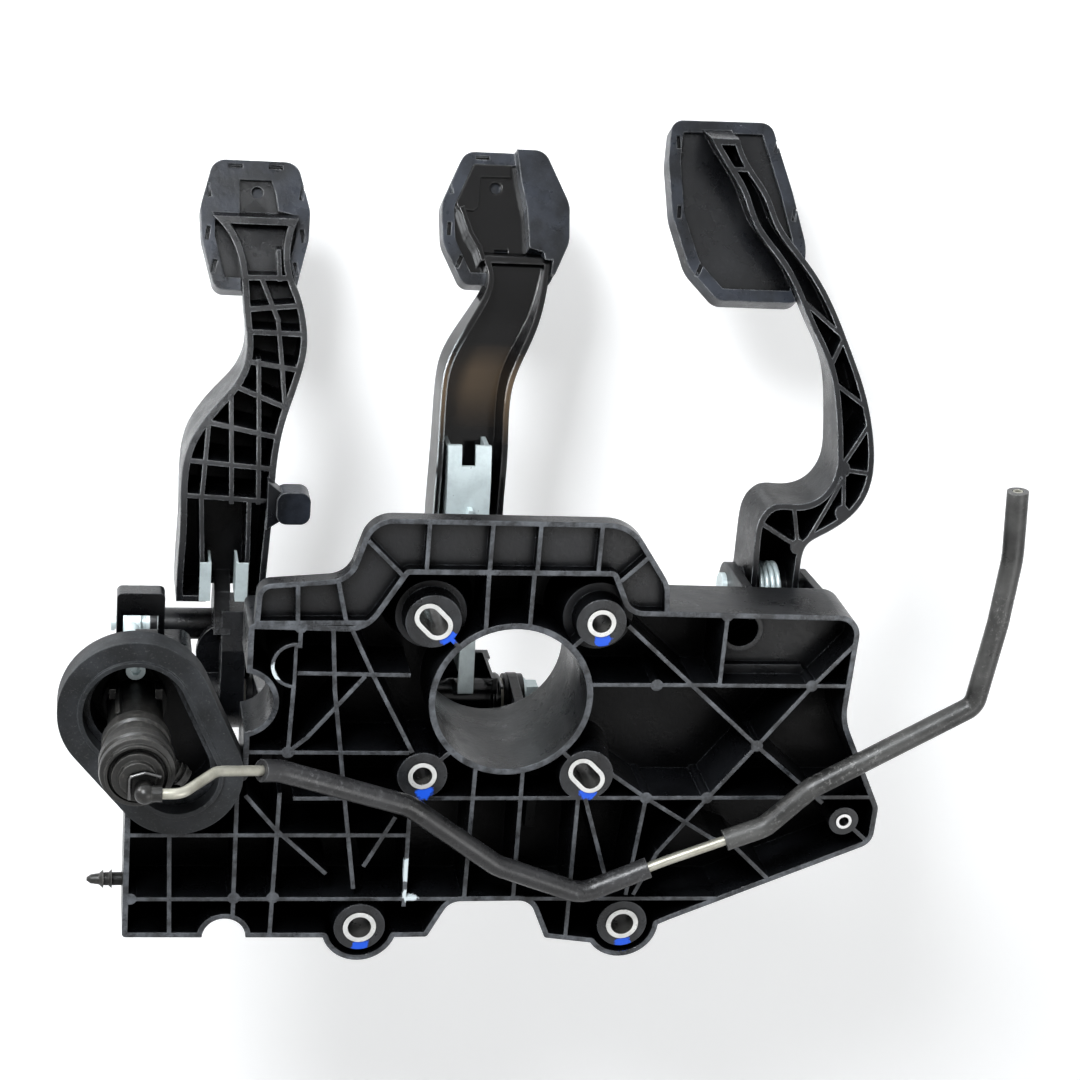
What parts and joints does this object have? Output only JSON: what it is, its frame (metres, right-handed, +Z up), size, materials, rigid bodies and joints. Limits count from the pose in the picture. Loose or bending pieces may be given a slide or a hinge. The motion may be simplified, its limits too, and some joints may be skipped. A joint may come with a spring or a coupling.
{
  "type": "pedal box",
  "caption": "Pedal box for a left-hand-drive car with hanging clutch, brake and accelerator pedals on a ribbed moulded bracket, with clutch master cylinder and pressure pipe",
  "frame": {"origin": "centre of the booster bore in the bracket's front plane", "axes": "+Z up as fitted in the car, -Y towards the bulkhead, +X towards the clutch pedal"},
  "size_m": [0.4496, 0.2723, 0.3841],
  "materials": {
    "moulding": "satin glass-filled nylon",
    "sleeve_steel": "zinc-plated pressed steel",
    "brass": "knurled brass",
    "zinc_plate": "bright zinc plate",
    "spring_steel": "bright drawn wire",
    "pipe_steel": "coated steel pipe",
    "sleeve_plastic": "smooth protective sleeve",
    "seal_rubber": "dusty soft rubber",
    "pad_rubber": "satin pedal rubber",
    "cylinder_plastic": "dirty moulded plastic",
    "clip_plastic": "moulded clip",
    "bush_plastic": "natural bearing plastic",
    "black_paint": "gloss black dip paint"
  },
  "bodies": {
    "bracket": {"pedal_bracket": "moulding", "round_stud_sleeves": "sleeve_steel", "slotted_stud_sleeves": "sleeve_steel", "upper_bolt_sleeves": "sleeve_steel", "threaded_insert": "brass", "main_pivot_bolt": "zinc_plate", "main_pivot_nut": "zinc_plate", "accelerator_pivot_pin": "zinc_plate", "accelerator_pin_clip": "spring_steel", "harness_clip": "clip_plastic", "bulkhead_seal": "seal_rubber", "master_cylinder_body": "cylinder_plastic", "master_cylinder_cap": "cylinder_plastic", "master_cylinder_screws": "zinc_plate", "feed_nipple": "cylinder_plastic", "pipe_union": "cylinder_plastic", "union_wire_clip": "spring_steel", "clutch_pipe": "pipe_steel", "pipe_sleeve_inner": "sleeve_plastic", "pipe_sleeve_outer": "sleeve_plastic", "accelerator_spring": "zinc_plate", "brake_return_spring": "spring_steel"},
    "clutch": {"clutch_arm": "moulding", "clutch_pad": "pad_rubber", "clutch_bushes": "bush_plastic", "clutch_bumper": "pad_rubber", "clutch_side_plates": "zinc_plate", "clutch_cross_pin": "zinc_plate"},
    "push_rod": {"clutch_push_rod": "zinc_plate"},
    "piston": {"clutch_piston": "bush_plastic"},
    "brake": {"brake_arm": "black_paint", "brake_pad_carrier": "black_paint", "brake_pad": "pad_rubber", "brake_rod_bracket": "zinc_plate", "brake_rod_pin": "zinc_plate", "brake_hub_tube": "black_paint", "brake_bushes": "bush_plastic"},
    "accelerator": {"accelerator_arm": "moulding", "accelerator_pad": "pad_rubber", "accelerator_bushes": "bush_plastic"}
  },
  "joints": [
    {"name": "clutch_pivot", "type": "hinge", "parent": "bracket", "child": "clutch", "pos_m": [0.132, 0.1, 0.045], "axis": [-1, 0, 0], "range_deg": [0, 25]},
    {"name": "push_rod_eye", "type": "hinge", "parent": "clutch", "child": "push_rod", "pos_m": [0.176, 0.108, 0.0085], "axis": [-1, 0, 0], "range_deg": [-25, 0]},
    {"name": "piston_stroke", "type": "slide", "parent": "bracket", "child": "piston", "axis": [0, -1, 0], "range_m": [0, 0.0165]},
    {"name": "brake_pivot", "type": "hinge", "parent": "bracket", "child": "brake", "pos_m": [0.01, 0.1, 0.045], "axis": [-1, 0, 0], "range_deg": [0, 15]},
    {"name": "accelerator_pivot", "type": "hinge", "parent": "bracket", "child": "accelerator", "pos_m": [-0.139, 0.074, -0.03], "axis": [-1, 0, 0], "range_deg": [0, 18]}
  ],
  "couplings": [
    {"joint": "push_rod_eye", "follows": "clutch_pivot", "ratio": -1},
    {"joint": "piston_stroke", "follows": "clutch_pivot", "m_per_rad": 0.037}
  ]
}
